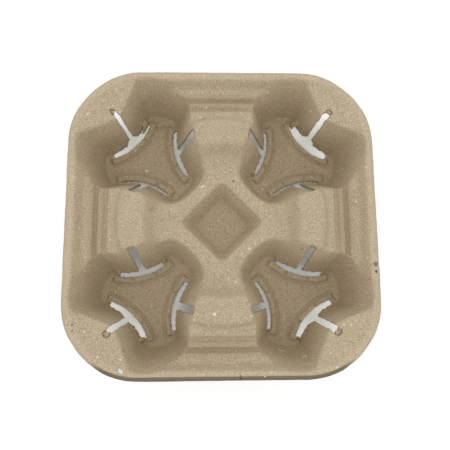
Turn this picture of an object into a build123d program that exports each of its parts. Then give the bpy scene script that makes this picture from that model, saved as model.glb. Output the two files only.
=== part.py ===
from build123d import *
from math import acos, atan, atan2, cos, degrees, hypot, pi, radians, sqrt, tan
import os

# A four-cup carrier moulded from paper pulp: one thin shell of even wall.
# It rests on its four well floors at z = 0, the origin is below its middle, and +Z is up.
# Millimetres and degrees throughout.

# Overall size; the width, 215 mm, follows from what the tray holds
tray_height = 46.0
corner_radius = 52.0
wall = 2.0

# Rim: a rolled lip outside, a narrow crest, and corner lands a little lower
# The lip leans inwards more and more on its way up, in bands.
lip_drop = 5.5
lip_leans = (8.0, 48.0)
lip_shares = (0.6, 0.4)
crest_inset = 6.7
land_drop = 1.2
land_slope_run = 2.0

# Wells: cones with three noses that lean into them and grip the cup
# Tips and lobe rounds are given at the floor, and follow the draft of the walls to the mouth.
# The back of a lobe is made of flat facets, at these turns off a nose and one in the middle.
well_floor_radius = 35.0
well_mouth_radius = 49.4
well_foot_bevel = 2.6
lobe_round = 3.0
back_facet_turns = (4.0, 32.0)
nose_count = 3
nose_flank = 23.5
nose_tip = 16.0
nose_round = 34.0
lobe_off_side = 15.0

# The nose at the tray's corner is steeper and has a narrow edge
corner_nose_tip = 17.0
corner_nose_mouth_tip = 27.0
corner_nose_round = 7.0

# Ledge on the well floor along the foot of each nose, in three pads
ledge_reach = 13.0
ledge_radius = 52.0
ledge_width = 8.0
ledge_length = 51.0
ledge_rise = 1.5
ledge_slope = 40.0
notch_spacing = 19.0
notch_width = 1.4

# T-shaped cut through each nose: a bar along its foot and a stem up its middle
bar_reach = 17.6
bar_radius = 47.0
bar_width = 4.0
bar_length = 39.5
stem_width = 3.4
stem_reach = 35.5

# Troughs between the rim and the blocks, with a groove and a step along them
trough_depth = 9.0
trough_slope_run = 4.8
groove_from_rim = 7.7
groove_width = 4.2
groove_depth = 1.8
step_from_rim = 14.8
step_rise = 2.4
step_run = 2.4

# Raised blocks on the four arms, bounded by arcs about the middle
block_from_rim = 25.1
block_length = 16.5
block_outer_run = 3.4
block_inner_run = 8.0

# Basin in the middle, with a square recess turned by 45 degrees
basin_depth = 13.4
basin_foot_bevel = 3.0
frame_width = 9.0
recess_width = 42.11
recess_depth = 21.3
recess_slope_run = 7.2
recess_corner_round = 4.0
recess_foot_bevel = 2.0

# Places worked out from the sizes, from the middle of the tray outwards
floor_level = wall
trough_level = tray_height - trough_depth
basin_level = tray_height - basin_depth
well_height = tray_height - floor_level
well_slope = (well_mouth_radius - well_floor_radius) / well_height
wall_across = wall * hypot(1, well_slope)
lobe_reach_at_basin = well_mouth_radius - basin_depth * well_slope
well_centre = (recess_width / 2 + frame_width + lobe_reach_at_basin) / sqrt(2)
crest_inner = well_centre + well_mouth_radius * cos(radians(lobe_off_side))
tray_width = 2 * (crest_inner + crest_inset)
rim_foot = crest_inner - trough_slope_run
block_outer_radius = rim_foot - block_from_rim
block_inner_radius = block_outer_radius - block_length
nose_directions = [360 / nose_count * nose for nose in range(nose_count)]
lobe_turn = 180 / nose_count
lobe_centre_reach = well_floor_radius - lobe_round
flank_reach = nose_tip * cos(radians(nose_flank))
lobe_centre_turn = degrees(acos((flank_reach - lobe_round) / lobe_centre_reach)) - nose_flank

# Cutting forms start this far outside what they cut, and are this many times longer
clear = 1.0
past = 3.0
angle_digits = 6
from_below = (Align.CENTER, Align.CENTER, Align.MIN)


def four_around(shape):
    return [Rot(0, 0, 90 * quarter) * shape for quarter in range(4)]


def in_wells(shape):
    return four_around(Pos(well_centre, well_centre) * Rot(0, 0, 45) * shape)


def cone(low_radius, high_radius, low, high):
    return Pos(0, 0, low) * Cone(low_radius, high_radius, high - low, align=from_below)


def direction_of(edge):
    middle = edge @ 0.5
    return round(atan2(middle.Y, middle.X), angle_digits) % (2 * pi)


def wall_between(low, high):
    start, end = low @ 0, low @ 1
    above = sorted((high @ 0, high @ 1), key=lambda point: (point - start).length)
    if low.geom_type == GeomType.LINE:
        return Face(Wire.make_polygon([start, end, above[1], above[0]]))
    centre = low.arc_center
    turn = (start - centre).get_signed_angle(end - centre, Vector(0, 0, 1))
    return Face.revolve(Edge.make_line(start, above[0]), turn, Axis(centre, (0, 0, 1)))


def stacked(outlines):
    # A solid through outlines at rising levels. Each is an offset of the one below, so that
    # lines are joined by planes, and arcs, which share a centre, by cones.
    faces = [outlines[0].face(), outlines[-1].face()]
    for low, high in zip(outlines, outlines[1:]):
        pairs = zip(low.edges().sort_by(direction_of), high.edges().sort_by(direction_of))
        faces += [wall_between(*pair) for pair in pairs]
    return Solid(Shell(faces))


def steep_edges(shape):
    return shape.edges().filter_by(lambda edge: edge.bounding_box().size.Z > trough_depth)


def wedge(tip):
    # A nose seen from above: a blunt V whose two flanks run back from the tip.
    length = past * well_mouth_radius
    back = tip + length * tan(radians(nose_flank))
    return Polygon((tip, 0), (back, -length), (back, length), align=None)


def nose_cut(growth):
    # Each hollow is a form made twice: as it is, for the air inside it, and grown by the wall.
    return wedge(nose_tip + growth / cos(radians(nose_flank)))


def front_outline(growth):
    # Three lobes on one circle, with a nose between each two; nose 0 faces the tray's corner.
    radius = well_floor_radius + growth
    outline = Circle(radius)
    for direction in nose_directions:
        outline -= Rot(0, 0, direction) * nose_cut(growth)
    corners = outline.vertices().filter_by(lambda v: hypot(v.X, v.Y) > radius - clear)
    return fillet(corners, lobe_round + growth)


def beyond(direction, reach):
    plate = Rectangle(past * reach, 2 * past * reach, align=(Align.MIN, Align.CENTER))
    return Rot(0, 0, direction) * Pos(reach, 0) * plate


def back_outline(growth):
    radius = well_floor_radius + growth
    outline = Circle(2 * radius)
    for direction in nose_directions:
        outline -= Rot(0, 0, direction) * nose_cut(growth)
        outline -= beyond(direction + lobe_turn, radius)
        for turn in back_facet_turns:
            reach = lobe_round + lobe_centre_reach * cos(radians(lobe_centre_turn - turn))
            outline -= beyond(direction - turn, reach + growth)
            outline -= beyond(direction + turn, reach + growth)
    return outline


def corner_nose(growth, depth_growth):
    slope = (corner_nose_mouth_tip - corner_nose_tip) / well_height
    tip = corner_nose_tip - depth_growth * slope + growth / cos(radians(nose_flank))
    height = tray_height + clear - floor_level + depth_growth
    taper = degrees(atan(slope * cos(radians(nose_flank))))
    form = Pos(0, 0, floor_level - depth_growth) * extrude(wedge(tip), height, taper=taper)
    edge = steep_edges(form).sort_by_distance((tip, 0, floor_level))[0]
    return fillet(edge, corner_nose_round - growth)


def well_form(outline_of, growth, depth_growth):
    bevel = well_foot_bevel + depth_growth / 2
    foot = floor_level - depth_growth
    outlines = []
    for level, inset in ((foot, bevel), (foot + bevel, 0), (tray_height + clear, 0)):
        spread = growth + (level - floor_level) * well_slope - inset
        outlines.append(Pos(0, 0, level) * outline_of(spread))
    form = stacked(outlines)
    nose_edges = steep_edges(form).sort_by_distance((0, 0, well_height))[:nose_count]
    form = fillet(nose_edges, nose_round - growth)
    return form - corner_nose(growth, depth_growth)


def well_front():
    pads = [Rot(0, 0, direction) * ledge_pads() for direction in nose_directions]
    return well_form(front_outline, 0, 0) - pads


def well_back():
    return well_form(back_outline, wall_across, wall)


def basin_form(growth, depth_growth):
    slope = block_inner_run / basin_depth
    low, high = basin_level - depth_growth, tray_height + clear
    low_radius = block_inner_radius - (tray_height - low) * slope + growth
    form = cone(low_radius, block_inner_radius + clear * slope + growth, low, high)
    return chamfer(form.edges().sort_by(Axis.Z)[0], basin_foot_bevel + depth_growth / 2)


def recess_form(growth, depth_growth):
    slope = recess_slope_run / recess_depth
    foot = -recess_depth - depth_growth
    bevel = recess_foot_bevel + depth_growth / 2
    outlines = []
    for rise, inset in ((foot, bevel), (foot + bevel, 0), (clear, 0)):
        side = recess_width + 2 * (rise * slope + growth - inset)
        outlines.append(Pos(0, 0, basin_level + rise) * Rot(0, 0, 45) * Rectangle(side, side))
    form = stacked(outlines)
    return fillet(steep_edges(form), recess_corner_round + growth)


def trough_form(growth):
    # The cross-section, outwards from the middle and up, runs along one side of the tray.
    top = tray_height + clear
    slope = trough_slope_run / trough_depth
    groove = rim_foot - groove_from_rim
    step = rim_foot - step_from_rim
    profile = make_face(Polyline(
        (well_centre, top),
        (well_centre, trough_level + step_rise),
        (step - step_run, trough_level + step_rise),
        (step, trough_level),
        (groove - groove_width / 2, trough_level),
        (groove, trough_level - groove_depth),
        (groove + groove_width / 2, trough_level),
        (rim_foot, trough_level),
        (crest_inner + clear * slope, top),
        close=True,
    ))
    if growth:
        profile = offset(profile, growth, kind=Kind.INTERSECTION)
    return extrude(Plane.YZ * profile, well_centre + wall, both=True)


def trough_forms(growth):
    slope = block_outer_run / (trough_depth - step_rise)
    depth = trough_depth + groove_depth + 2 * wall
    low_radius = block_outer_radius + depth * slope - growth
    high_radius = block_outer_radius - clear * slope - growth
    block = cone(low_radius, high_radius, tray_height - depth, tray_height + clear)
    return [trough - block for trough in four_around(trough_form(growth))]


def tray_outline(inset, level):
    side = tray_width - 2 * inset
    return Pos(0, 0, level) * RectangleRounded(side, side, corner_radius - inset)


def land_form(growth, depth_growth):
    # The lands lie inside the crest, so the blocks in the middle keep their full height.
    slope = land_slope_run / land_drop
    outlines = []
    for rise in (-land_drop - depth_growth, clear):
        outlines.append(tray_outline(crest_inset - rise * slope - growth, tray_height + rise))
    middle_radius = (rim_foot + block_outer_radius) / 2
    return stacked(outlines) - Cylinder(middle_radius, past * tray_height)


def rim_form(inset):
    height = lip_drop - inset
    level = tray_height - lip_drop
    outlines = [tray_outline(inset, level)]
    for share, lean in zip(lip_shares, lip_leans):
        rise = share * height
        level += rise
        inset += rise * tan(radians(lean))
        outlines.append(tray_outline(inset, level))
    return stacked(outlines)


def arc_band(reach, radius, width, length):
    # A band bowed towards the middle of the well, with its ends square to the arc.
    half_width = 2 * radius * tan(length / 2 / radius)
    sector = Polygon((0, 0), (-2 * radius, half_width), (-2 * radius, -half_width), align=None)
    return Pos(reach + radius, 0) * (sector & (Circle(radius) - Circle(radius - width)))


def ledge_pads():
    # A ring segment about the bow's centre, with a sloping side towards the well's middle.
    slope_run = ledge_rise * tan(radians(ledge_slope))
    half_angle = degrees(ledge_length / 2 / ledge_radius)
    ridge = Plane.XZ * Polygon(
        (-ledge_radius, 0),
        (-ledge_radius + slope_run, ledge_rise),
        (-ledge_radius + ledge_width, ledge_rise),
        (-ledge_radius + ledge_width, -clear),
        (-ledge_radius, -clear),
        align=None,
    )
    pads = Rot(0, 0, -half_angle) * revolve(ridge, Axis.Z, 2 * half_angle)
    notch = Pos(-ledge_radius, 0) * Box(past * ledge_width, notch_width, 2 * ledge_rise)
    half_spacing = degrees(notch_spacing / 2 / ledge_radius)
    for turn in (-half_spacing, half_spacing):
        pads -= Pos(0, 0, ledge_rise) * Rot(0, 0, turn) * notch
    return Pos(ledge_reach + ledge_radius, 0, floor_level) * pads


def t_cut():
    bar = arc_band(bar_reach, bar_radius, bar_width, bar_length)
    start = bar_reach + bar_width / 2
    stem_align = (Align.MIN, Align.CENTER)
    stem = Pos(start, 0) * Rectangle(stem_reach - start, stem_width, align=stem_align)
    return extrude(Pos(0, 0, -clear) * (bar + stem), tray_height + 2 * clear)


def on_noses(shape):
    copies = [Rot(0, 0, direction) * shape for direction in nose_directions]
    return [placed for copy in copies for placed in in_wells(copy)]


def hollows(well, growth, depth_growth):
    forms = in_wells(well) + trough_forms(depth_growth)
    forms += [basin_form(growth, depth_growth), recess_form(growth, depth_growth)]
    return forms + [land_form(growth, depth_growth)]


def cup_carrier():
    rim = rim_form(0)
    under_rim = rim_form(wall)
    below_rim = Box(tray_width, tray_width, tray_height - lip_drop, align=from_below)
    shell = (rim - under_rim + hollows(well_back(), wall_across, wall)) & (rim + below_rim)
    shell -= hollows(well_front(), 0, 0)
    shell -= on_noses(t_cut())
    return shell


os.makedirs("parts", exist_ok=True)
export_step(cup_carrier(), "parts/cup_carrier.step")
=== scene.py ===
# %% [markdown]
# A cup carrier tray of moulded pulp
#
# The real tray is one sheet of wet paper pulp, sucked onto a wire mould and dried. The packed
# part already has its true shape, so this lesson is about what the drying leaves behind: soft
# edges, torn cuts, a grainy skin and the shreds of old paper in it.

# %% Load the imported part
import math

import bpy
import numpy as np
from mathutils import Euler, Matrix, Vector


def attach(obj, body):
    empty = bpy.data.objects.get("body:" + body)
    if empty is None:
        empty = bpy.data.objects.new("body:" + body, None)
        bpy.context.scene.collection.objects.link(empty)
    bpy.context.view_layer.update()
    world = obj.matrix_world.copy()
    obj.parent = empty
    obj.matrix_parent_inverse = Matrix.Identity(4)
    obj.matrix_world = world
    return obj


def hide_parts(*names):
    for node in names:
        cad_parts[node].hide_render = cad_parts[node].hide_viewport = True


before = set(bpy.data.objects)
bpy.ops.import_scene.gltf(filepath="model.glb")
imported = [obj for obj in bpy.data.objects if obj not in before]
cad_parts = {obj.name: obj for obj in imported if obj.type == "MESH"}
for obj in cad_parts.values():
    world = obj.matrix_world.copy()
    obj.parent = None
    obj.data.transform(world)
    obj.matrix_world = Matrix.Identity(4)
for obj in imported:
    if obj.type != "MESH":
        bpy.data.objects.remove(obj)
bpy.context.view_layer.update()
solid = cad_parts["cup_carrier"]
MM = 0.001
print("corners of the solid tray", len(solid.data.vertices))

# %% [markdown]
# Working on one object at a time
#
# An operator acts on everything that is selected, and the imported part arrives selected. A small
# helper makes one object the only selected and active one before each step, and a second one
# uses it to add a modifier, set it and apply it.


# %% Selecting one object, and applying a modifier to it
def only(piece):
    bpy.ops.object.select_all(action="DESELECT")
    piece.select_set(True)
    bpy.context.view_layer.objects.active = piece


def apply_modifier(piece, name, kind, **settings):
    only(piece)
    modifier = piece.modifiers.new(name, kind)
    for setting, value in settings.items():
        setattr(modifier, setting, value)
    bpy.ops.object.modifier_apply(modifier=modifier.name)


# %% [markdown]
# The softened sheet
#
# The solid has crisp edges and long thin triangles, which neither bend nor catch light as pulp
# does. Bevels would need every edge to be chosen by hand. A voxel remesh gives the whole sheet
# an even net of small faces instead, fine enough for the 2 mm wall. Rounds of smoothing can
# then wear it down, as the felt side of pulp is.

# %% Copy the solid and remesh it
VOXEL = 0.8 * MM

only(solid)
bpy.ops.object.duplicate()
tray = bpy.context.active_object
tray.name = "pulp_tray"
tray.data.name = "pulp_tray"
tray.parent = None
for key in list(tray.keys()):
    del tray[key]
bpy.ops.object.mode_set(mode="EDIT")
bpy.ops.mesh.select_all(action="SELECT")
bpy.ops.mesh.remove_doubles(threshold=0.001 * MM)
bpy.ops.object.mode_set(mode="OBJECT")
apply_modifier(tray, "even net", "REMESH", mode="VOXEL", voxel_size=VOXEL, use_smooth_shade=True)
print("faces of the remeshed tray", len(tray.data.polygons))

# %% [markdown]
# Where the cuts are
#
# Each well has three noses that lean in, and each nose has a cut like a T: a bowed bar along
# its foot and a stem up its middle. To wear and tear the pulp there, every corner of the net is
# first measured from its nose: how far out from the well's middle, how far to the side, and how
# far across and along the bow of the bar.

# %% Measure every corner from its nose
WELL_CENTRE = 53.08 * MM
BAR_REACH = 17.6 * MM
BAR_RADIUS = 47.0 * MM
BAR_WIDTH = 4.0 * MM
BAR_LENGTH = 39.5 * MM
STEM_WIDTH = 3.4 * MM
STEM_REACH = 35.5 * MM
STEM_START = BAR_REACH + BAR_WIDTH
WELLS = {"back_left": (-1, 1), "back_right": (1, 1), "front_left": (-1, -1), "front_right": (1, -1)}
NOSE_TURNS = (0, 120, 240)
EVERY_NOSE = [(name, turn) for name in WELLS for turn in NOSE_TURNS]


def read_corners(piece):
    places = np.empty(3 * len(piece.data.vertices), np.float32)
    piece.data.vertices.foreach_get("co", places)
    return places.reshape(-1, 3).astype(float)


def write_corners(piece, places):
    piece.data.vertices.foreach_set("co", places.astype(np.float32).ravel())
    piece.data.update()


def read_normals(piece):
    normals = np.empty(3 * len(piece.data.vertices), np.float32)
    piece.data.vertices.foreach_get("normal", normals)
    return normals.reshape(-1, 3).astype(float)


class Nose:
    """One nose seen from above: its own directions, and measures of places from it."""

    def __init__(self, well_name, turn):
        side_x, side_y = WELLS[well_name]
        angle = math.atan2(side_y, side_x) + math.radians(turn)
        self.out = np.array([math.cos(angle), math.sin(angle)])
        self.left = np.array([-self.out[1], self.out[0]])
        self.middle = WELL_CENTRE * np.array([side_x, side_y], float)
        self.bow = BAR_REACH + BAR_RADIUS
        self.bar_middle = BAR_RADIUS - BAR_WIDTH / 2

    def measure(self, places):
        """How far out and to the side places are, and how far along and across the bar."""
        flat = places[:, :2] - self.middle
        reach, side = flat @ self.out, flat @ self.left
        from_bow = np.hypot(reach - self.bow, side)
        along = np.arctan2(side, self.bow - reach) * self.bar_middle
        return reach, side, along, self.bar_middle - from_bow

    def at(self, reach, side):
        return self.middle + reach * self.out + side * self.left

    def at_bar(self, along, across):
        radius = self.bar_middle - across
        turn = along / self.bar_middle
        return self.at(self.bow - radius * math.cos(turn), radius * math.sin(turn))


noses = [Nose(*key) for key in EVERY_NOSE]
print("noses", len(noses))

# %% [markdown]
# Wear
#
# Wet pulp can't hold a sharp edge. The mouths of the wells and the basin are rounded by 3 or
# 4 mm, the recess, grooves and ledges by less, and the cuts hardly at all, because they are
# made by a blade. So after one round of smoothing all over, there are two passes, each with a
# vertex group that says how much of it a corner takes.


# %% How much each corner wears
def fade(distance, reach):
    """1 at no distance, falling softly to 0 at the reach."""
    return np.clip(1 - np.abs(distance) / reach, 0, 1) ** 2


def rise(value, low, high):
    """0 at the low value, rising softly to 1 at the high one."""
    share = np.clip((value - low) / (high - low), 0, 1)
    return share * share * (3 - 2 * share)


def from_cuts(places):
    """The distance from the nearest edge of a cut, and 0 inside it."""
    nearest = np.full(len(places), np.inf)
    for nose in noses:
        reach, side, along, across = nose.measure(places)
        past_end = np.clip(np.abs(along) - BAR_LENGTH / 2, 0, None)
        bar = np.hypot(np.clip(np.abs(across) - BAR_WIDTH / 2, 0, None), past_end)
        past_end = np.clip(np.maximum(reach - STEM_REACH, STEM_START - reach), 0, None)
        stem = np.hypot(np.clip(np.abs(side) - STEM_WIDTH / 2, 0, None), past_end)
        nearest = np.minimum(nearest, np.minimum(bar, stem))
    return nearest


CRISP_REACH = (0.5 * MM, 3.5 * MM)
LIP_EDGE = (97.5 * MM, 102 * MM)
TROUGH_BAND = (73 * MM, 77 * MM)
RIM_FOOT = (91 * MM, 95 * MM)
TROUGH_HALF_LENGTH = (24 * MM, 32 * MM)
LEDGE_LEVEL = (4.5 * MM, 9 * MM)
LIP_LEVEL = 43.5 * MM
CREST_SHARE = 0.45
FLOOR_KEEPS = 0.9
TROUGH_KEEPS = 0.7
RECESS_REACH = (40 * MM, 52 * MM)
RECESS_KEEPS = 1.0

corners = read_corners(tray)
clear_of_cuts = rise(from_cuts(corners), *CRISP_REACH)
flat_x, flat_y = np.abs(corners[:, 0]), np.abs(corners[:, 1])
outermost = np.maximum(flat_x, flat_y)
innermost = np.minimum(flat_x, flat_y)
in_trough = rise(outermost, *TROUGH_BAND) * (1 - rise(outermost, *RIM_FOOT))
in_trough = in_trough * (1 - rise(innermost, *TROUGH_HALF_LENGTH))
on_floor = 1 - rise(corners[:, 2], *LEDGE_LEVEL)
on_lip = rise(outermost, *LIP_EDGE) * np.where(corners[:, 2] < LIP_LEVEL, 1, CREST_SHARE)
light_wear = clear_of_cuts * (1 - FLOOR_KEEPS * on_floor) * (1 - TROUGH_KEEPS * in_trough)
heavy_wear = clear_of_cuts * (1 - in_trough) * (1 - on_floor) * (1 - on_lip)
heavy_wear *= 1 - RECESS_KEEPS * (1 - rise(flat_x + flat_y, *RECESS_REACH))
print("share that wears much", round(float(heavy_wear.mean()), 2))


# %% Wear the tray down in two passes
WEIGHT_LEVELS = 10
LIGHT_ROUNDS = 6
HEAVY_ROUNDS = 65
SOFTNESS = 0.5


def wear_down(piece, name, rounds, weights=None):
    """Smooths a piece, each corner by its own weight from 0 to 1 where weights are given."""
    settings = {}
    if weights is not None:
        group = piece.vertex_groups.new(name=name)
        steps = np.round(weights * WEIGHT_LEVELS).astype(int)
        for step in range(1, WEIGHT_LEVELS + 1):
            group.add(np.flatnonzero(steps == step).tolist(), step / WEIGHT_LEVELS, "REPLACE")
        settings["vertex_group"] = name
    apply_modifier(piece, name, "SMOOTH", factor=SOFTNESS, iterations=rounds, **settings)


wear_down(tray, "soft all over", 1)
wear_down(tray, "light wear", LIGHT_ROUNDS, light_wear)
wear_down(tray, "heavy wear", HEAVY_ROUNDS, heavy_wear)
tray.vertex_groups.clear()
print("rounds of smoothing", LIGHT_ROUNDS, "and", HEAVY_ROUNDS)

# %% [markdown]
# Pressed lines
#
# The wire mould draws the pulp hardest into its creases, so on the real tray the groove and
# the step along each arm, and the outlines of the ledges on the well floors, are deeper and
# sharper than a drawing of them. Corners on the upper face near these lines are pushed down
# along a rounded V. The underside stays as it is.

# %% Helpers for creases
LEDGE_REACH = 13.0 * MM
LEDGE_RADIUS = 52.0 * MM
LEDGE_HALF_LENGTH = 25.5 * MM
LEDGE_FOOT = -0.2 * MM
LEDGE_FAR_EDGE = (5 * MM, 7 * MM)
NOTCH_OFF_SIDE = 9.5 * MM
MIDDLE_OF_WELL = 5 * MM
# Half the width and the depth of a ledge's outline, and of a notch across it.
LEDGE_CREASE = (1.6 * MM, 1.6 * MM)
NOTCH_CREASE = (1.5 * MM, 1.5 * MM)


def crease(distance, half_width, depth):
    """How deep a place is pressed at a distance from the middle of a rounded V."""
    share = np.clip(1 - np.abs(distance) / half_width, 0, 1)
    return depth * share * share * (3 - 2 * share)


def ledge_creases(nose, places):
    """How deep places on a well's floor are pressed by the outline of one nose's ledge."""
    reach, side, _, _ = nose.measure(places)
    bow = LEDGE_REACH + LEDGE_RADIUS
    from_bow = np.hypot(reach - bow, side)
    along = np.arctan2(side, bow - reach) * LEDGE_RADIUS
    inwards = LEDGE_RADIUS - from_bow
    on_length = 1 - rise(np.abs(along), LEDGE_HALF_LENGTH - MM, LEDGE_HALF_LENGTH + MM)
    foot = crease(inwards - LEDGE_FOOT, *LEDGE_CREASE) * on_length
    across_ledge = rise(inwards, -MM, MM) * (1 - rise(inwards, *LEDGE_FAR_EDGE))
    notch = crease(np.abs(along) - NOTCH_OFF_SIDE, *NOTCH_CREASE) * across_ledge
    end = crease(np.abs(along) - LEDGE_HALF_LENGTH, *LEDGE_CREASE) * across_ledge
    return np.maximum(foot, np.maximum(notch, end)) * (reach > MIDDLE_OF_WELL)


# %% Press the lines in
GROOVE_LINE = 88.3 * MM
STEP_LINE = 81.0 * MM
GROOVE_CREASE = (2.4 * MM, 1.7 * MM)
STEP_CREASE = (2.8 * MM, 1.7 * MM)
ARM_HALF_LENGTH = (25 * MM, 29 * MM)
ARM_FLOOR = 30 * MM
WELL_FLOOR = 8 * MM
UPPER_FACE = (0.2, 0.5)

corners = read_corners(tray)
facing_up = rise(read_normals(tray)[:, 2], *UPPER_FACE)
flat_x, flat_y = np.abs(corners[:, 0]), np.abs(corners[:, 1])
outermost, innermost = np.maximum(flat_x, flat_y), np.minimum(flat_x, flat_y)
in_arm = (1 - rise(innermost, *ARM_HALF_LENGTH)) * (corners[:, 2] > ARM_FLOOR)
pressed = crease(outermost - GROOVE_LINE, *GROOVE_CREASE) * in_arm
pressed = np.maximum(pressed, crease(outermost - STEP_LINE, *STEP_CREASE) * in_arm)
low = corners[:, 2] < WELL_FLOOR
for nose in noses:
    pressed[low] = np.maximum(pressed[low], ledge_creases(nose, corners[low]))
corners[:, 2] -= pressed * facing_up
write_corners(tray, corners)
print("deepest crease", round(float(pressed.max() / MM), 2), "mm")

# %% [markdown]
# Tearing the cuts
#
# The mould's blades leave a thin film of pulp in each cut. When it is knocked out it tears, so
# a real cut is crisp above and ragged below, and stands open wider in its middle than at its
# ends. A row of sines of unlike lengths makes a ragged line that is the same on every run.
# Corners near a cut are pushed across it, the ones on the underside most.


# %% Helper for ragged lines
# Each wave has a length in millimetres, a shift and a share.
WAVES = ((5.3, 0.9, 0.3), (3.1, 1.7, 0.3), (1.9, 4.1, 0.28), (1.15, 2.9, 0.2))


def ragged(along, seed):
    """A jagged wave between about -1 and 1 along a length in metres, another for each seed."""
    total = np.zeros_like(along)
    for length, shift, share in WAVES:
        total += share * np.sin(2 * math.pi * along / (length * MM) + shift * (seed + 1))
    return total


# %% Tear one nose
TEAR_REACH = 3.0 * MM
TORN_BY = 0.45 * MM
FILM_BY = 0.5 * MM
WIDER_IN_MIDDLE = 1.2 * MM
OPEN_AT_ENDS = 0.6
END_FADE = 2 * MM
# The part of a well that is one nose: how far out, how far to the side, how wide a wedge.
NOSE_REACH = (10 * MM, 42 * MM)
NOSE_HALF_WIDTH = 26 * MM
NOSE_SPREAD = 0.55
# A face counts as underside the more, the further its normal's rise is below this.
UNDERSIDE_TILT = 0.35
# The bar's edge on the floor side tears less, and the two edges of a cut aren't alike.
FLOOR_SIDE_SHARE = 0.4
BAR_SIDES_APART = 2 * MM
STEM_SIDES_APART = 3 * MM


def bar_gap(bar_open, along):
    """How wide a bar stands open along its length: widest in the middle."""
    taper = np.cos(np.clip(along / BAR_LENGTH, -0.5, 0.5) * math.pi)
    opened = bar_open * (OPEN_AT_ENDS + (1 - OPEN_AT_ENDS) * taper)
    return BAR_WIDTH + opened + WIDER_IN_MIDDLE * (taper - 0.5)


def tear_nose(places, normals, nose, bar_open, stem_open, seed):
    """Moves the corners near one T cut, which opens by so many metres at its bar and stem."""
    reach, side, along, across = nose.measure(places)
    near = (reach > NOSE_REACH[0]) & (reach < NOSE_REACH[1]) & (np.abs(side) < NOSE_HALF_WIDTH)
    near &= reach > np.abs(side) * NOSE_SPREAD
    reach, side, along, across = reach[near], side[near], along[near], across[near]
    under = np.clip(UNDERSIDE_TILT - normals[near, 2], 0, 1)

    beside = np.sign(across)
    in_bar = fade(np.clip(np.abs(along) - BAR_LENGTH / 2, 0, None), END_FADE)
    tear = TORN_BY * ragged(along + BAR_SIDES_APART * beside, seed)
    tear = tear * (FLOOR_SIDE_SHARE + (1 - FLOOR_SIDE_SHARE) * (beside > 0))
    film = FILM_BY * (1 + ragged(along, seed + 7)) * under
    widen = (bar_gap(bar_open, along) - BAR_WIDTH) / 2 + tear - film
    widen = widen * beside * fade(np.abs(across) - BAR_WIDTH / 2, TEAR_REACH) * in_bar
    turn = along / nose.bar_middle
    shift_reach = widen * np.cos(turn)
    shift_side = -widen * np.sin(turn)

    in_stem = fade(np.clip(STEM_START - reach, 0, None), MM)
    in_stem = in_stem * fade(np.clip(reach - STEM_REACH, 0, None), END_FADE)
    tear = TORN_BY * ragged(reach + STEM_SIDES_APART * np.sign(side), seed + 3)
    film = FILM_BY * (1 + ragged(reach, seed + 11)) * under
    widen = (stem_open / 2 + tear - film) * fade(np.abs(side) - STEM_WIDTH / 2, TEAR_REACH)
    shift_side += np.sign(side) * widen * in_stem

    places[near, 0] += shift_reach * nose.out[0] + shift_side * nose.left[0]
    places[near, 1] += shift_reach * nose.out[1] + shift_side * nose.left[1]


# %% [markdown]
# Twelve noses, none alike
#
# The photo shows some cuts wide and some nearly shut. Each nose gets its own opening at the
# bar and at the stem, in millimetres, where less than 0 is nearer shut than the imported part.

# %% Tear all twelve noses
CUTS = {
    "back_left": ((-0.7, -0.2), (-1.5, 2.4), (-0.5, 2.6)),
    "back_right": ((2.0, 1.2), (-1.2, 2.4), (-2.0, 2.6)),
    "front_left": ((0.3, 1.2), (0.1, 2.6), (-0.7, 2.0)),
    "front_right": ((0.6, 1.8), (-0.7, 1.4), (-0.4, 1.6)),
}


def row_of(table, well_name, turn):
    """The row of a table that belongs to one nose."""
    return table[well_name][NOSE_TURNS.index(turn)]


corners = read_corners(tray)
facing = read_normals(tray)
for seed, (nose, key) in enumerate(zip(noses, EVERY_NOSE)):
    bar_open, stem_open = (MM * value for value in row_of(CUTS, *key))
    tear_nose(corners, facing, nose, bar_open, stem_open, seed)
write_corners(tray, corners)
print("noses torn", len(noses))

# %% [markdown]
# Uneven drying
#
# Pulp shrinks unevenly as it dries. Two clouds of procedural noise push the sheet in and out:
# a slow one for the waves in the faces and a fine one for the lumps of fibre. The net is then
# thinned, because the flat faces need fewer corners than the torn edges do.


# %% Waves and lumps
# The size of the clouds, and how far apart they push the highest and the lowest places.
DRYING_WAVES = (14 * MM, 0.5 * MM)
FIBRE_LUMPS = (2.2 * MM, 0.12 * MM)
MOST_TRIANGLES = 190000


def push_with_clouds(piece, name, grain, strength):
    """Pushes a piece's corners in and out by clouds of one size."""
    clouds = bpy.data.textures.new(name, "CLOUDS")
    clouds.noise_scale = grain
    clouds.noise_depth = 2
    settings = {"texture": clouds, "strength": strength, "mid_level": 0.5}
    apply_modifier(piece, name, "DISPLACE", texture_coords="LOCAL", **settings)


push_with_clouds(tray, "drying waves", *DRYING_WAVES)
push_with_clouds(tray, "fibre lumps", *FIBRE_LUMPS)
triangles = sum(len(face.vertices) - 2 for face in tray.data.polygons)
apply_modifier(tray, "thinned net", "DECIMATE", ratio=min(1, MOST_TRIANGLES / triangles))
corners = read_corners(tray)
corners[:, 2] = np.maximum(corners[:, 2], 0)
write_corners(tray, corners)
only(tray)
bpy.ops.object.shade_smooth()
print("faces of the finished tray", len(tray.data.polygons))

# %% [markdown]
# The film left in the cuts
#
# At the ends of most cuts a small tongue of the film still hangs, a little below the face, bent
# down where it meets the walls and torn off along a ragged line. It could be left by a shorter
# cut, but then it would be as thick as the wall and level with it. Each tongue is a small grid
# instead, laid across the cut between its two edges, and given the film's thickness.

# %% Find the face of the tray from above
from mathutils.bvhtree import BVHTree

tray_tree = BVHTree.FromObject(tray, bpy.context.evaluated_depsgraph_get())
HIGH_ABOVE = 0.2
DOWN = Vector((0, 0, -1))


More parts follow.
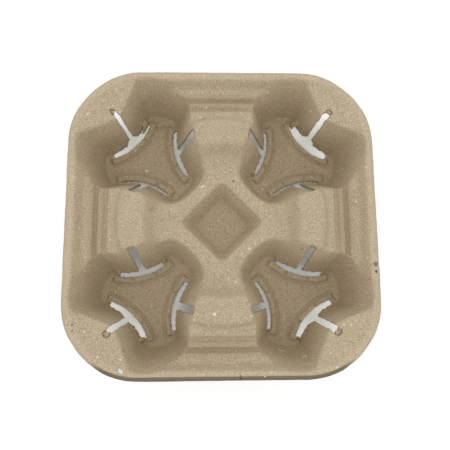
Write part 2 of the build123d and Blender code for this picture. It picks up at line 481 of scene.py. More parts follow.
def face_below(flat):
    """The place and normal of the tray's face under a place seen from above."""
    place, normal, _, _ = tray_tree.ray_cast(Vector((*flat, HIGH_ABOVE)), DOWN)
    return np.array(place), np.array(normal)


print("the tray's middle is", round(face_below((0, 0))[0][2] / MM, 1), "mm above the table")

# %% Lay one tongue of film
FILM_THICKNESS = 0.4 * MM
FILM_DEPTH = 0.8 * MM
# How far down and over what width the film is bent along the walls it is tucked into.
SEAM_DEPTH = 1.5 * MM
SEAM_WIDTH = 0.9 * MM
TUCKED_IN = 0.6 * MM
# How far the torn end droops, from where along the film on, and how ragged it is.
TORN_DROOP = 0.6 * MM
DROOP_FROM = 0.3
TORN_END = 0.5 * MM
TORN_END_WIDTH = 6 * MM
# How far beside a cut the tray's face is measured.
BESIDE = 2.0 * MM
LENGTH_STEPS = 14
WIDTH_STEPS = 14


def between_edges(near_edge, far_edge, share, depth):
    """A place across a cut, let in below its two edges."""
    (first, first_normal), (second, second_normal) = near_edge, far_edge
    normal = first_normal + second_normal
    normal = normal / np.linalg.norm(normal)
    return first + share * (second - first) - depth * normal


def film_tongue(edge_at, cut, gap, length, slant, seed):
    """edge_at gives the tray's face at a distance from the cut's end, on one of its sides."""
    bpy.ops.object.select_all(action="DESELECT")
    bpy.ops.mesh.primitive_grid_add(x_subdivisions=LENGTH_STEPS, y_subdivisions=WIDTH_STEPS, size=1)
    tongue = bpy.context.active_object
    places = read_corners(tongue)
    for number, (x, y, _) in enumerate(places):
        jagged = ragged(np.array([y * TORN_END_WIDTH]), seed)[0]
        tear = 1 + slant * y + TORN_END / length * jagged
        inwards = (x + 0.5) * (length * tear + TUCKED_IN) - TUCKED_IN
        aside = y * (gap + 2 * TUCKED_IN)
        from_wall = max(0, min(gap / 2 - abs(aside), inwards))
        depth = FILM_DEPTH + SEAM_DEPTH * max(0, 1 - from_wall / SEAM_WIDTH)
        depth += TORN_DROOP * max(0, x - DROOP_FROM) / (0.5 - DROOP_FROM)
        share = 0.5 + aside / (cut + 2 * BESIDE)
        places[number] = between_edges(edge_at(inwards, -1), edge_at(inwards, 1), share, depth)
    write_corners(tongue, places)
    apply_modifier(tongue, "film", "SOLIDIFY", thickness=FILM_THICKNESS, offset=0)
    return tongue


def stem_tongue(nose, gap, length, slant, seed):
    """A tongue at the stem's outer end."""

    def edge_at(inwards, side):
        return face_below(nose.at(STEM_REACH - inwards, side * (STEM_WIDTH / 2 + BESIDE)))

    return film_tongue(edge_at, STEM_WIDTH, gap, length, slant, seed)


def bar_tongue(nose, gap, end, length, slant, seed):
    """A tongue at one end of the bar, 1 for the left and -1 for the right."""

    def edge_at(inwards, side):
        along = end * (BAR_LENGTH / 2 - inwards)
        return face_below(nose.at_bar(along, side * (BAR_WIDTH / 2 + BESIDE)))

    return film_tongue(edge_at, BAR_WIDTH, gap, length, slant, seed)


# %% [markdown]
# Which cuts keep a tongue
#
# For each nose: the length in millimetres of the tongue at the stem's end, at the bar's left
# end and at its right end, seen from the middle of the well, and then how much the torn line
# slants.

# %% Lay all the tongues
TONGUES = {
    "back_left": ((3.4, 0.0, 7.0, 0.9), (1.6, 0.0, 1.5, 0.2), (2.0, 1.6, 0.0, 0.3)),
    "back_right": ((3.2, 4.6, 0.0, 0.5), (3.2, 3.0, 1.6, 0.3), (0.0, 1.8, 0.0, 0.2)),
    "front_left": ((4.2, 2.6, 1.6, 0.4), (2.4, 0.0, 0.0, 0.3), (2.6, 3.0, 3.0, 0.4)),
    "front_right": ((3.8, 0.0, 1.4, 0.3), (2.4, 1.8, 2.4, 0.4), (1.6, 1.6, 0.0, 0.2)),
}

tongues = []
for seed, (nose, key) in enumerate(zip(noses, EVERY_NOSE)):
    stem, bar_left, bar_right, slant = row_of(TONGUES, *key)
    bar_open, stem_open = (MM * value for value in row_of(CUTS, *key))
    if stem:
        tongues.append(stem_tongue(nose, STEM_WIDTH + stem_open, stem * MM, slant, seed))
    for end, length in ((1, bar_left * MM), (-1, bar_right * MM)):
        if length:
            gap = bar_gap(bar_open, BAR_LENGTH / 2 - length / 2)
            tongues.append(bar_tongue(nose, gap, end, length, end * slant, seed + 20 + 10 * end))
print("tongues of film", len(tongues))


# %% Join them to one piece
def joined(pieces, name):
    """Makes one piece of many, with its faces outwards and its place in its mesh."""
    bpy.ops.object.select_all(action="DESELECT")
    for piece in pieces:
        piece.select_set(True)
    bpy.context.view_layer.objects.active = pieces[0]
    bpy.ops.object.join()
    whole = bpy.context.active_object
    whole.name = name
    whole.data.name = name
    bpy.ops.object.mode_set(mode="EDIT")
    bpy.ops.mesh.select_all(action="SELECT")
    bpy.ops.mesh.normals_make_consistent(inside=False)
    bpy.ops.object.mode_set(mode="OBJECT")
    bpy.ops.object.transform_apply()
    bpy.ops.object.shade_smooth()
    return whole


films = joined(tongues, "torn_films")
print("faces of the torn film", len(films.data.polygons))

# %% [markdown]
# The camera
#
# The camera stands almost straight above the tray, a little towards its front. Its place came
# from matching the square of the rim, the arms and the recess to the photo. It comes before
# the shreds, because they are placed where the photo shows them.

# %% Camera
LENS = 39.25
CAMERA_PLACE = Vector((-9.0, -58.6, 374.7)) * MM
CAMERA_TURN = (9.30, -1.86, -0.12)

camera_data = bpy.data.cameras.new("camera")
camera_data.lens = LENS
camera_data.clip_start = 0.01
camera = bpy.data.objects.new("camera", camera_data)
bpy.context.scene.collection.objects.link(camera)
camera_turn = Euler([math.radians(value) for value in CAMERA_TURN], "ZYX")
camera.matrix_world = Matrix.Translation(CAMERA_PLACE) @ camera_turn.to_matrix().to_4x4()
bpy.context.scene.camera = camera
print("the camera stands", round(CAMERA_PLACE.z / MM), "mm above the table")

# %% From a pixel of the photo to the tray
PHOTO_SIZE = 450


def face_at_pixel(across, down):
    """The place and normal of the tray's face that the photo shows at a pixel."""
    film_width = camera_data.sensor_width
    ray = Vector((across / PHOTO_SIZE - 0.5, 0.5 - down / PHOTO_SIZE, 0)) * film_width
    ray.z = -camera_data.lens
    ray.rotate(camera_turn)
    place, normal, _, _ = tray_tree.ray_cast(CAMERA_PLACE, ray.normalized())
    return place, normal


print("the photo's middle is", [round(value, 3) for value in face_at_pixel(225, 225)[0]])

# %% [markdown]
# Shreds of white paper
#
# The stock is old paper, and a few shreds of it dried onto the skin without being pulped. Each
# is a strip of a few faces with pointed ends and a slight curl, thinner than a fingernail, laid
# on the face where the photo shows it.

# %% Model one shred
SHRED_THICKNESS = 0.15 * MM
SHRED_POINT = 0.35
SHRED_CURL = 0.25 * MM
SHRED_TORN_BY = 0.25 * MM
TORN_FROM_WIDTH = 0.8


def paper_shred(across, down, length, width, turn):
    """Sizes in millimetres, the turn in degrees, the place in pixels of the photo."""
    place, normal = face_at_pixel(across, down)
    bpy.ops.object.select_all(action="DESELECT")
    bpy.ops.mesh.primitive_grid_add(x_subdivisions=8, y_subdivisions=2, size=1)
    shred = bpy.context.active_object
    bpy.ops.object.mode_set(mode="EDIT")
    bpy.ops.transform.resize(value=(length * MM, width * MM, 1))
    bpy.ops.object.mode_set(mode="OBJECT")
    places = read_corners(shred)
    ends = np.abs(places[:, 0]) / (length * MM / 2)
    places[:, 1] *= 1 - (1 - SHRED_POINT) * ends**2
    if width > TORN_FROM_WIDTH:
        places[:, 1] += SHRED_TORN_BY * ragged(places[:, 0], across)
    places[:, 2] += SHRED_CURL * ends**2
    write_corners(shred, places)
    apply_modifier(shred, "paper", "SOLIDIFY", thickness=SHRED_THICKNESS, offset=1)
    along = Vector((math.cos(math.radians(turn)), math.sin(math.radians(turn)), 0))
    along = (along - along.dot(normal) * normal).normalized()
    lie = Matrix((along, normal.cross(along), normal)).transposed()
    shred.matrix_world = Matrix.Translation(place) @ lie.to_4x4()
    return shred


# %% Lay the shreds
# Each row is the pixel across and down, the length, the width and the turn.
SHREDS = (
    (87.6, 114.2, 3.6, 1.0, 46), (121, 100.5, 1.8, 0.7, 120), (103.5, 101, 1.3, 0.8, 90),
    (145, 93.5, 1.3, 0.6, 20), (135, 104, 1.3, 0.6, 150), (191.5, 92.7, 1.5, 0.8, 90),
    (206.3, 107.7, 2.1, 0.8, 72), (200.5, 117.5, 2.3, 1.4, 44), (146.7, 171, 2.5, 1.3, 144),
    (202.9, 186.6, 3.4, 1.3, 32), (267.9, 92.6, 2.6, 1.1, 14), (263.2, 100.6, 1.7, 0.7, 60),
    (269.5, 110.8, 2.0, 0.8, 90), (246.5, 123.1, 1.6, 0.8, 100), (345.5, 95.1, 1.4, 0.7, 90),
    (366.1, 167, 1.8, 1.0, 46), (372.3, 150.3, 2.2, 0.9, 66), (214.4, 314.2, 2.8, 2.2, 119),
    (228.3, 270.2, 1.4, 0.8, 80), (228.5, 278.4, 1.8, 0.7, 90), (242, 253.4, 2.1, 0.8, 118),
    (249.7, 249.3, 1.9, 0.9, 57), (262, 239.6, 2.0, 0.9, 59), (120.6, 371.4, 4.4, 2.4, 132),
    (241, 322, 1.2, 0.9, 0), (281, 350.4, 5.0, 0.8, -17), (305, 356.5, 3.4, 1.1, 28),
    (170.3, 183.2, 1.4, 0.9, 52), (182.5, 187, 1.1, 0.7, 0), (218, 221, 1.0, 0.7, 60),
    (352, 251, 1.2, 0.6, 90), (194.3, 319.7, 2.0, 1.0, 73), (115.5, 292, 1.5, 0.7, 140),
    (152, 306, 1.0, 0.8, 0), (265, 376.5, 1.2, 0.8, 10), (337, 367.2, 1.9, 1.2, 110),
    (84.2, 331.7, 1.9, 1.1, 75), (163.5, 372, 1.8, 0.8, 32), (108.5, 206.9, 1.4, 0.8, 90),
    (79.5, 228.1, 1.4, 0.8, 90), (84.8, 270.8, 1.4, 0.9, 42), (123, 226, 1.3, 1.1, 130),
    (356, 320, 1.3, 1.2, 139), (253.9, 105.9, 1.6, 0.7, 135), (75.5, 219, 1.3, 0.7, 90),
)

shreds = joined([paper_shred(*row) for row in SHREDS], "paper_shreds")
print("shreds of paper", len(SHREDS), "faces", len(shreds.data.polygons))

# %% [markdown]
# The shader groups
#
# Three effects make the skin of recycled pulp: clouds and grain of lighter and darker stock,
# flecks of what the old paper was printed with, and the bumps of the felted fibres. Each is a
# node group with named inputs, so that every material can use it with its own values. Four more
# groups say where things lie: the tray's own stains and crack, a painted highlight and painted
# shade on the rim, and painted shade in the troughs and the deep wells.


# %% Helpers for nodes
def new_group(name, inputs, outputs):
    """A node group with its named inputs and outputs, and the nodes that hold them."""
    group = bpy.data.node_groups.new(name, "ShaderNodeTree")
    for title, kind, value in inputs:
        socket = group.interface.new_socket(title, in_out="INPUT", socket_type=kind)
        if value is not None:
            socket.default_value = value
    for title, kind in outputs:
        group.interface.new_socket(title, in_out="OUTPUT", socket_type=kind)
    return group, group.nodes.new("NodeGroupInput"), group.nodes.new("NodeGroupOutput")


def add(tree, kind, **settings):
    """Adds a node and sets it."""
    node = tree.nodes.new(kind)
    for setting, value in settings.items():
        setattr(node, setting, value)
    return node


def feed(tree, socket, value):
    """Links a socket to another node's output, or gives it a value of its own."""
    if isinstance(value, bpy.types.NodeSocket):
        tree.links.new(value, socket)
    elif value is not None:
        socket.default_value = value


def math_node(tree, operation, first, second=None):
    node = add(tree, "ShaderNodeMath", operation=operation)
    for socket, value in zip(node.inputs, (first, second)):
        feed(tree, socket, value)
    return node.outputs["Value"]


def vector_node(tree, operation, first, second=None):
    node = add(tree, "ShaderNodeVectorMath", operation=operation)
    for socket, value in zip(node.inputs, (first, second)):
        feed(tree, socket, value)
    return node.outputs["Value" if operation in ("DISTANCE", "LENGTH") else "Vector"]


def parts_of(tree, place):
    """A place taken apart into its X, Y and Z."""
    node = add(tree, "ShaderNodeSeparateXYZ")
    tree.links.new(place, node.inputs["Vector"])
    return node.outputs


def noise(tree, place, scale, detail, roughness, output="Fac"):
    node = add(tree, "ShaderNodeTexNoise")
    tree.links.new(place, node.inputs["Vector"])
    feed(tree, node.inputs["Scale"], scale)
    node.inputs["Detail"].default_value = detail
    node.inputs["Roughness"].default_value = roughness
    return node.outputs[output]


def ramp(tree, value, low, high):
    """Rises softly from 0 at the low value to 1 at the high one."""
    node = add(tree, "ShaderNodeMapRange", clamp=True, interpolation_type="SMOOTHSTEP")
    tree.links.new(value, node.inputs["Value"])
    node.inputs["From Min"].default_value = low
    node.inputs["From Max"].default_value = high
    return node.outputs["Result"]


# %% Clouds of lighter and darker stock
FLOAT = "NodeSocketFloat"
VECTOR = "NodeSocketVector"
PLACE = ("Place", VECTOR, None)
TINT_SCALE = 1000.0


def make_mottle():
    inputs = (PLACE, ("Cloud scale", FLOAT, 60.0), ("Grain scale", FLOAT, 1300.0))
    outputs = (("Cloud", FLOAT), ("Grain", FLOAT), ("Tint", FLOAT))
    group, source, result = new_group("pulp mottle", inputs, outputs)
    place = source.outputs["Place"]
    cloud = noise(group, place, source.outputs["Cloud scale"], 3.0, 0.6)
    grain = noise(group, place, source.outputs["Grain scale"], 3.0, 0.7)
    tint = noise(group, place, TINT_SCALE, 1.0, 0.5)
    group.links.new(ramp(group, cloud, 0.3, 0.7), result.inputs["Cloud"])
    group.links.new(ramp(group, grain, 0.32, 0.68), result.inputs["Grain"])
    group.links.new(ramp(group, tint, 0.35, 0.65), result.inputs["Tint"])
    return group


mottle_group = make_mottle()
print("made the group", mottle_group.name)


# %% Flecks of old paper and ink
FLECK_BEND = 1.1 * MM
FLECK_BEND_SCALE = 700.0


def make_flecks():
    """Spots in some of the cells of a Voronoi texture, bent out of round by noise."""
    inputs = (PLACE, ("Scale", FLOAT, 300.0), ("Size", FLOAT, 0.2), ("Share", FLOAT, 0.2))
    group, source, result = new_group("fibre flecks", inputs, (("Mask", FLOAT),))
    bend = noise(group, source.outputs["Place"], FLECK_BEND_SCALE, 2.0, 0.5, "Color")
    bend = vector_node(group, "MULTIPLY", bend, (FLECK_BEND, FLECK_BEND, FLECK_BEND))
    cells = add(group, "ShaderNodeTexVoronoi", feature="F1")
    feed(group, cells.inputs["Vector"], vector_node(group, "ADD", source.outputs["Place"], bend))
    feed(group, cells.inputs["Scale"], source.outputs["Scale"])
    near = math_node(group, "LESS_THAN", cells.outputs["Distance"], source.outputs["Size"])
    lot = add(group, "ShaderNodeSeparateColor")
    group.links.new(cells.outputs["Color"], lot.inputs["Color"])
    chosen = math_node(group, "LESS_THAN", lot.outputs["Red"], source.outputs["Share"])
    group.links.new(math_node(group, "MULTIPLY", near, chosen), result.inputs["Mask"])
    return group


fleck_group = make_flecks()
print("made the group", fleck_group.name)


# %% The felted skin
LUMP_SHARE = 1.4


def make_skin():
    inputs = (PLACE, ("Fibre scale", FLOAT, 900.0), ("Lump scale", FLOAT, 260.0))
    group, source, result = new_group("felted skin", inputs, (("Height", FLOAT),))
    fibre = noise(group, source.outputs["Place"], source.outputs["Fibre scale"], 4.0, 0.65)
    lump = noise(group, source.outputs["Place"], source.outputs["Lump scale"], 2.0, 0.5)
    both = math_node(group, "ADD", fibre, math_node(group, "MULTIPLY", lump, LUMP_SHARE))
    group.links.new(both, result.inputs["Height"])
    return group


skin_group = make_skin()
print("made the group", skin_group.name)


# %% A stain, and a hairline crack
STAIN_GRAIN_SCALE = 900.0
STAIN_EDGE = (1.25, 0.75)
CRACK_WAVER = 8 * MM
CRACK_WAVER_SCALE = 180.0


def make_stain():
    """A blot round a place, eaten away at its edge by fine noise."""
    inputs = (PLACE, ("Centre", VECTOR, None), ("Radius", FLOAT, 2 * MM), ("Raggedness", FLOAT, 0.8))
    group, source, result = new_group("stain", inputs, (("Mask", FLOAT),))
    away = vector_node(group, "DISTANCE", source.outputs["Place"], source.outputs["Centre"])
    share = math_node(group, "DIVIDE", away, source.outputs["Radius"])
    eaten = noise(group, source.outputs["Place"], STAIN_GRAIN_SCALE, 2.0, 0.6)
    eaten = math_node(group, "MULTIPLY", eaten, source.outputs["Raggedness"])
    mask = ramp(group, math_node(group, "ADD", share, eaten), *STAIN_EDGE)
    group.links.new(mask, result.inputs["Mask"])
    return group


def make_crack():
    """A thin wavering line along Y at a given X, from a given Y on towards the front."""
    inputs = (PLACE, ("Across", FLOAT, 0.0), ("Width", FLOAT, 0.3 * MM), ("Starts at", FLOAT, -0.1))
    group, source, result = new_group("hairline crack", inputs, (("Mask", FLOAT),))
    parts = parts_of(group, source.outputs["Place"])
    waver = noise(group, source.outputs["Place"], CRACK_WAVER_SCALE, 3.0, 0.6)
    waver = math_node(group, "MULTIPLY", math_node(group, "SUBTRACT", waver, 0.5), CRACK_WAVER)
    away = math_node(group, "SUBTRACT", parts["X"], source.outputs["Across"])
    away = math_node(group, "ABSOLUTE", math_node(group, "ADD", away, waver))
    line = math_node(group, "LESS_THAN", away, source.outputs["Width"])
    beyond = math_node(group, "LESS_THAN", parts["Y"], source.outputs["Starts at"])
    group.links.new(math_node(group, "MULTIPLY", line, beyond), result.inputs["Mask"])
    return group


stain_group = make_stain()
crack_group = make_crack()
print("made the groups", stain_group.name, "and", crack_group.name)


# %% The painted highlight and painted shade of the rim
RIM_CORNER = 55.5 * MM
CREST_HIGHLIGHT_FROM = (99.5 * MM, 102.5 * MM)
LIP_FROM = (103.6 * MM, 104.6 * MM)
FRONT_FROM = (-93 * MM, -100 * MM)


def make_rim_tone():
    """Masks by how far out a place is: painted highlight on the crest, painted shade on the lip
    below it.
    """
    inputs = (PLACE, ("Corner centre", FLOAT, RIM_CORNER))
    group, source, result = new_group("rim tone", inputs, (("Crest", FLOAT), ("Lip", FLOAT)))
    flat = vector_node(group, "MULTIPLY", source.outputs["Place"], (1, 1, 0))
    past = vector_node(group, "ABSOLUTE", flat)
    past = vector_node(group, "SUBTRACT", past, source.outputs["Corner centre"])
    round_corner = vector_node(group, "MAXIMUM", past)
    away = vector_node(group, "LENGTH", round_corner)
    outwards = math_node(group, "ADD", away, source.outputs["Corner centre"])
    at_front = ramp(group, parts_of(group, source.outputs["Place"])["Y"], *FRONT_FROM)
    lip = math_node(group, "MULTIPLY", ramp(group, outwards, *LIP_FROM), at_front)
    above_lip = math_node(group, "SUBTRACT", 1.0, lip)
    crest = math_node(group, "MULTIPLY", ramp(group, outwards, *CREST_HIGHLIGHT_FROM), above_lip)
    group.links.new(crest, result.inputs["Crest"])
    group.links.new(lip, result.inputs["Lip"])
    return group


rim_group = make_rim_tone()
print("made the group", rim_group.name)


# %% The painted shade of the troughs and the deep wells
PAST_STEP = (79.5 * MM, 83 * MM)
BEFORE_RIM = (94.5 * MM, 90.5 * MM)
ON_ARM = (32 * MM, 25 * MM)
LOW_DOWN = (38 * MM, 18 * MM)
IN_WELL = (62 * MM, 82 * MM)


def make_shade_tone():
    """Masks of painted shade: the trough floors along the arms, and how deep a place in a well lies.
    """
    outputs = (("Trough", FLOAT), ("Deep", FLOAT))
    group, source, result = new_group("shade tone", (PLACE,), outputs)
    parts = parts_of(group, vector_node(group, "ABSOLUTE", source.outputs["Place"]))
    outwards = math_node(group, "MAXIMUM", parts["X"], parts["Y"])
    aside = math_node(group, "MINIMUM", parts["X"], parts["Y"])
    on_floor = [ramp(group, outwards, *PAST_STEP), ramp(group, outwards, *BEFORE_RIM)]
    trough = math_node(group, "MULTIPLY", *on_floor)
    trough = math_node(group, "MULTIPLY", trough, ramp(group, aside, *ON_ARM))
    group.links.new(trough, result.inputs["Trough"])
    from_middle = math_node(group, "ADD", parts["X"], parts["Y"])
    deep = [ramp(group, parts["Z"], *LOW_DOWN), ramp(group, from_middle, *IN_WELL)]
    group.links.new(math_node(group, "MULTIPLY", *deep), result.inputs["Deep"])
    return group


shade_group = make_shade_tone()
print("made the group", shade_group.name)

# %% [markdown]
# The pulp
#
# Grey-brown recycled stock is matte all over. Its colour is written as it looks in plain
# light. The clouds change it a little and the grain rather more, and flecks go over it: many
# tiny dark ones, fewer white ones, and here and there a reddish one. A photo could be laid over
# the tray instead, but it would bring its own light and shade, and only one side.


# %% Helpers for materials
def written(red, green, blue):
    """A colour as it is seen on a screen, from 0 to 255, turned into linear light."""
    channels = []
    for value in (red, green, blue):
        share = value / 255
        channels.append(share / 12.92 if share <= 0.04045 else ((share + 0.055) / 1.055) ** 2.4)
    return (*channels, 1.0)


def group_node(tree, group, place, **values):
    """Puts a group into a material, with the material's own values for its inputs."""
    node = add(tree, "ShaderNodeGroup", node_tree=group)
    tree.links.new(place, node.inputs["Place"])
    for name, value in values.items():
        node.inputs[name.replace("_", " ").capitalize()].default_value = value
    return node


def mixed(tree, share, first, second):
    """Two colours mixed by a mask, or by one number all over."""
    node = add(tree, "ShaderNodeMix", data_type="RGBA")
    feed(tree, node.inputs["Factor"], share)
    colour_inputs = [socket for socket in node.inputs if socket.type == "RGBA"]
    for socket, value in zip(colour_inputs, (first, second)):
        feed(tree, socket, value)
    return [socket for socket in node.outputs if socket.type == "RGBA"][0]


def laid_over(tree, colour, mask, strength, seen):
    """A colour with another one, as it is seen, laid over it by a mask and a strength."""
    share = math_node(tree, "MULTIPLY", mask, strength)
    return mixed(tree, share, colour, written(*seen))


def new_material(name):
    material = bpy.data.materials.new(name)
    material.use_nodes = True
    tree = material.node_tree
    return material, tree, tree.nodes["Principled BSDF"]


def object_place(tree):
    """The place on the object itself, so that patterns stay where they are on it."""
    return add(tree, "ShaderNodeTexCoord").outputs["Object"]


# %% Stock, grain and flecks
# Each row is a colour, the cells in a metre, the size in a cell, the share of cells, the strength.
FLECKS = (
    ((60, 50, 38), 620.0, 0.20, 0.16, 0.5),
    ((238, 230, 212), 480.0, 0.20, 0.10, 0.5),
    ((232, 226, 212), 210.0, 0.13, 0.10, 0.8),
    ((170, 104, 74), 230.0, 0.15, 0.07, 0.6),
)
GRAIN_STRENGTH = 0.62
DARK_GRAIN = 0.72
LIGHT_GRAIN = 1.14
TINT_STRENGTH = 0.1
WARM_TINT = (204, 164, 134)
COOL_TINT = (160, 174, 146)


def stock_colour(tree, place, dark_stock, light_stock):
    """The colour of pulp: two stocks in clouds, then grain, tint and flecks."""
    mottle = group_node(tree, mottle_group, place)
    colour = mixed(tree, mottle.outputs["Cloud"], written(*dark_stock), written(*light_stock))
    darkest = written(*(DARK_GRAIN * value for value in dark_stock))
    lightest = written(*(min(255, LIGHT_GRAIN * value) for value in light_stock))
    grain = mixed(tree, mottle.outputs["Grain"], darkest, lightest)
    colour = mixed(tree, GRAIN_STRENGTH, colour, grain)
    tint = mixed(tree, mottle.outputs["Tint"], written(*WARM_TINT), written(*COOL_TINT))
    colour = mixed(tree, TINT_STRENGTH, colour, tint)
    for seen, scale, size, share, strength in FLECKS:
        flecks = group_node(tree, fleck_group, place, scale=scale, size=size, share=share)
        colour = laid_over(tree, colour, flecks.outputs["Mask"], strength, seen)
    return colour


print("kinds of fleck", len(FLECKS))


# %% The felted surface
FELT_HEIGHT = 0.25 * MM
FELT_ROUGHNESS = 0.92
FELT_SPECULAR = 0.2


def felted(tree, shader, place, strength):
    """Gives a shader the bumps and the dull surface of felted fibres."""
    skin = group_node(tree, skin_group, place)
    bump = add(tree, "ShaderNodeBump")
    bump.inputs["Distance"].default_value = FELT_HEIGHT
    bump.inputs["Strength"].default_value = strength
    tree.links.new(skin.outputs["Height"], bump.inputs["Height"])
    tree.links.new(bump.outputs["Normal"], shader.inputs["Normal"])
    shader.inputs["Roughness"].default_value = FELT_ROUGHNESS
    shader.inputs["Specular IOR Level"].default_value = FELT_SPECULAR


# %% [markdown]
# Marks of its own, and painted light and shade
#
# This tray has a few marks: an inky blot with a dark speck on the right rim, a red-brown stain
# on the floor of the back left well, some darker blots, and a hairline crack through the front
# lip. The rest is painted light and shade: a painted highlight makes the crest of the rim paler,
# painted shade darkens the lip along the front, and painted shade makes the floors of the
# troughs and the deep parts of the wells a little darker. All are part of the material, because
# none of them has a thickness.

# %% The pulp material
# Each row is the pixel across and down, the radius in millimetres, the colour, the strength.
STAINS = (
    (376.0, 264.0, 2.6, (92, 92, 92), 0.75),
    (376.3, 271.5, 1.5, (48, 52, 56), 0.9),
    (164.0, 127.5, 4.2, (166, 122, 90), 0.25),
    (152.0, 250.0, 1.3, (176, 96, 70), 0.8),
    (72.0, 325.0, 0.9, (60, 52, 42), 0.9),
    (72.0, 331.0, 0.9, (60, 52, 42), 0.9),
    (233.5, 181.0, 1.5, (105, 108, 108), 0.8),
    (302.0, 249.0, 1.8, (96, 82, 62), 0.5),
)
CRACK_PIXEL = (241.0, 376.0)
CRACK_STARTS = -101 * MM
CRACK_STRENGTH = 0.6
CRACK_COLOUR = (70, 56, 46)
DARK_STOCK = (184, 167, 138)
LIGHT_STOCK = (198, 182, 153)
# Painted shade on the trough floors and deep in the wells: two strengths and the shade's colour.
TROUGH_PAINTED_SHADE = 0.22
DEEP_PAINTED_SHADE = 0.2
PAINTED_SHADE_COLOUR = (140, 116, 90)
# Painted highlight: the crest of the rim is made paler towards this colour.
CREST_PAINTED_HIGHLIGHT = 0.18
PAINTED_HIGHLIGHT_COLOUR = (226, 208, 184)
# Painted shade: the lip along the front is darkened towards this colour.
LIP_PAINTED_SHADE = 0.85
PAINTED_LIP_SHADE_COLOUR = (112, 98, 82)
PULP_FELT = 0.5


def make_pulp():
    material, tree, shader = new_material("recycled pulp")
    place = object_place(tree)
    colour = stock_colour(tree, place, DARK_STOCK, LIGHT_STOCK)
    shade = group_node(tree, shade_group, place).outputs
    rim = group_node(tree, rim_group, place).outputs
    # Painted shade on the trough floors and deep in the wells.
    colour = laid_over(tree, colour, shade["Trough"], TROUGH_PAINTED_SHADE, PAINTED_SHADE_COLOUR)
    colour = laid_over(tree, colour, shade["Deep"], DEEP_PAINTED_SHADE, PAINTED_SHADE_COLOUR)
    # A painted highlight on the crest of the rim.
    colour = laid_over(tree, colour, rim["Crest"], CREST_PAINTED_HIGHLIGHT, PAINTED_HIGHLIGHT_COLOUR)
    # Painted shade on the lip along the front.
    colour = laid_over(tree, colour, rim["Lip"], LIP_PAINTED_SHADE, PAINTED_LIP_SHADE_COLOUR)
    for across, down, radius, seen, strength in STAINS:
        stain = group_node(tree, stain_group, place, radius=radius * MM)
        stain.inputs["Centre"].default_value = face_at_pixel(across, down)[0]
        colour = laid_over(tree, colour, stain.outputs["Mask"], strength, seen)
    crack_x = face_at_pixel(*CRACK_PIXEL)[0].x
    crack = group_node(tree, crack_group, place, across=crack_x, starts_at=CRACK_STARTS)
    colour = laid_over(tree, colour, crack.outputs["Mask"], CRACK_STRENGTH, CRACK_COLOUR)
    tree.links.new(colour, shader.inputs["Base Color"])
    felted(tree, shader, place, PULP_FELT)
    return material


pulp = make_pulp()
for piece in (tray, solid):
    piece.data.materials.clear()
    piece.data.materials.append(pulp)
print("stains", len(STAINS))

# %% [markdown]
# The film and the shreds
#
# The film in the cuts is the same stock, a little browner, because it is thin and was wet for
# longest. The shreds are bleached paper, nearly white, with a faint grey grain.


# %% Materials of the film and the shreds
DARK_FILM = (168, 148, 118)
LIGHT_FILM = (186, 167, 136)
FILM_FELT = 0.7
GREY_PAPER = (206, 198, 176)
WHITE_PAPER = (246, 242, 228)
PAPER_FELT = 0.4


def make_film_material():
    material, tree, shader = new_material("thin pulp film")
    place = object_place(tree)
    colour = stock_colour(tree, place, DARK_FILM, LIGHT_FILM)
    tree.links.new(colour, shader.inputs["Base Color"])
    felted(tree, shader, place, FILM_FELT)
    return material


def make_paper_material():
    material, tree, shader = new_material("white paper shred")
    place = object_place(tree)
    grain = group_node(tree, mottle_group, place).outputs["Grain"]
    colour = mixed(tree, grain, written(*GREY_PAPER), written(*WHITE_PAPER))
    tree.links.new(colour, shader.inputs["Base Color"])
    felted(tree, shader, place, PAPER_FELT)
    return material


films.data.materials.append(make_film_material())
shreds.data.materials.append(make_paper_material())
for piece in (tray, films, shreds):
    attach(piece, "root")
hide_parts("cup_carrier")
print("pieces", tray.name, films.name, shreds.name)

# %% [markdown]
# The table and the light
#
# The tray stands on a white table that is lit so evenly that it shows white. The table takes
# the tray's shadow as usual, and some white is added only for the rays that show it as a
# background, so that it bounces no more light onto the pulp. Under the tray less is added,
# because the photo shows the table light grey through the cuts. The light comes evenly from all
# of a white room, and a wide soft lamp above the tray adds a little.


# %% Table
GLOW_IN_THE_OPEN = 0.74
GLOW_UNDER_TRAY = 0.07
COLOUR_IN_THE_OPEN = (160, 160, 160)
COLOUR_UNDER_TRAY = (226, 228, 220)
UNDER_TRAY = (64 * MM, 104 * MM)
TABLE_ROUGHNESS = 0.9
TABLE_WIDTH = 8.0


def seen_rays(tree):
    """1 for rays that show the background: the camera's own, mirrored ones and those in glass."""
    rays = add(tree, "ShaderNodeLightPath").outputs
    mirrored = math_node(tree, "MAXIMUM", rays["Is Glossy Ray"], rays["Is Transmission Ray"])
    return math_node(tree, "MAXIMUM", rays["Is Camera Ray"], mirrored)


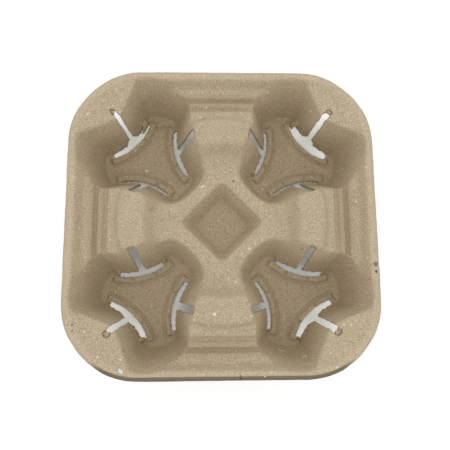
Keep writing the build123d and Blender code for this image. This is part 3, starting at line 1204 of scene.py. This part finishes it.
def make_table_material():
    material, tree, shader = new_material("white table")
    shader.inputs["Roughness"].default_value = TABLE_ROUGHNESS
    shader.inputs["Emission Color"].default_value = (1.0, 1.0, 1.0, 1.0)
    parts = parts_of(tree, object_place(tree))
    sides = [math_node(tree, "ABSOLUTE", parts[axis]) for axis in ("X", "Y")]
    in_the_open = ramp(tree, math_node(tree, "MAXIMUM", *sides), *UNDER_TRAY)
    ends = written(*COLOUR_UNDER_TRAY), written(*COLOUR_IN_THE_OPEN)
    tree.links.new(mixed(tree, in_the_open, *ends), shader.inputs["Base Color"])
    glow = math_node(tree, "MULTIPLY", in_the_open, GLOW_IN_THE_OPEN - GLOW_UNDER_TRAY)
    glow = math_node(tree, "ADD", glow, GLOW_UNDER_TRAY)
    glow = math_node(tree, "MULTIPLY", seen_rays(tree), glow)
    tree.links.new(glow, shader.inputs["Emission Strength"])
    return material


bpy.ops.object.select_all(action="DESELECT")
bpy.ops.mesh.primitive_plane_add(size=TABLE_WIDTH, location=(0, 0, 0))
table = bpy.context.active_object
table.name = "table"
table.data.materials.append(make_table_material())
print("the table is", table.dimensions.x, "m wide")

# %% Lamp and room
ROOM_LIGHT = 0.92
LAMP_WATTS = 1.0
LAMP_PLACE = Vector((-0.1, 0.15, 1.3))
LAMP_WIDTH = 1.4

lamp_data = bpy.data.lights.new("overhead softbox", "AREA")
lamp_data.shape = "DISK"
lamp_data.size = LAMP_WIDTH
lamp_data.energy = LAMP_WATTS
lamp = bpy.data.objects.new("overhead softbox", lamp_data)
bpy.context.scene.collection.objects.link(lamp)
lamp.location = LAMP_PLACE
lamp.rotation_euler = (-LAMP_PLACE).to_track_quat("-Z", "Y").to_euler()
world = bpy.data.worlds.new("studio")
world.use_nodes = True
background = world.node_tree.nodes["Background"]
background.inputs["Color"].default_value = (1, 1, 1, 1)
whiter = math_node(world.node_tree, "MULTIPLY", seen_rays(world.node_tree), 1 - ROOM_LIGHT)
strength = math_node(world.node_tree, "ADD", whiter, ROOM_LIGHT)
world.node_tree.links.new(strength, background.inputs["Strength"])
bpy.context.scene.world = world
bpy.context.scene.view_settings.view_transform = "Standard"
print("room light", ROOM_LIGHT, "lamp", LAMP_WATTS, "W")

# %% Finish
print("finished")
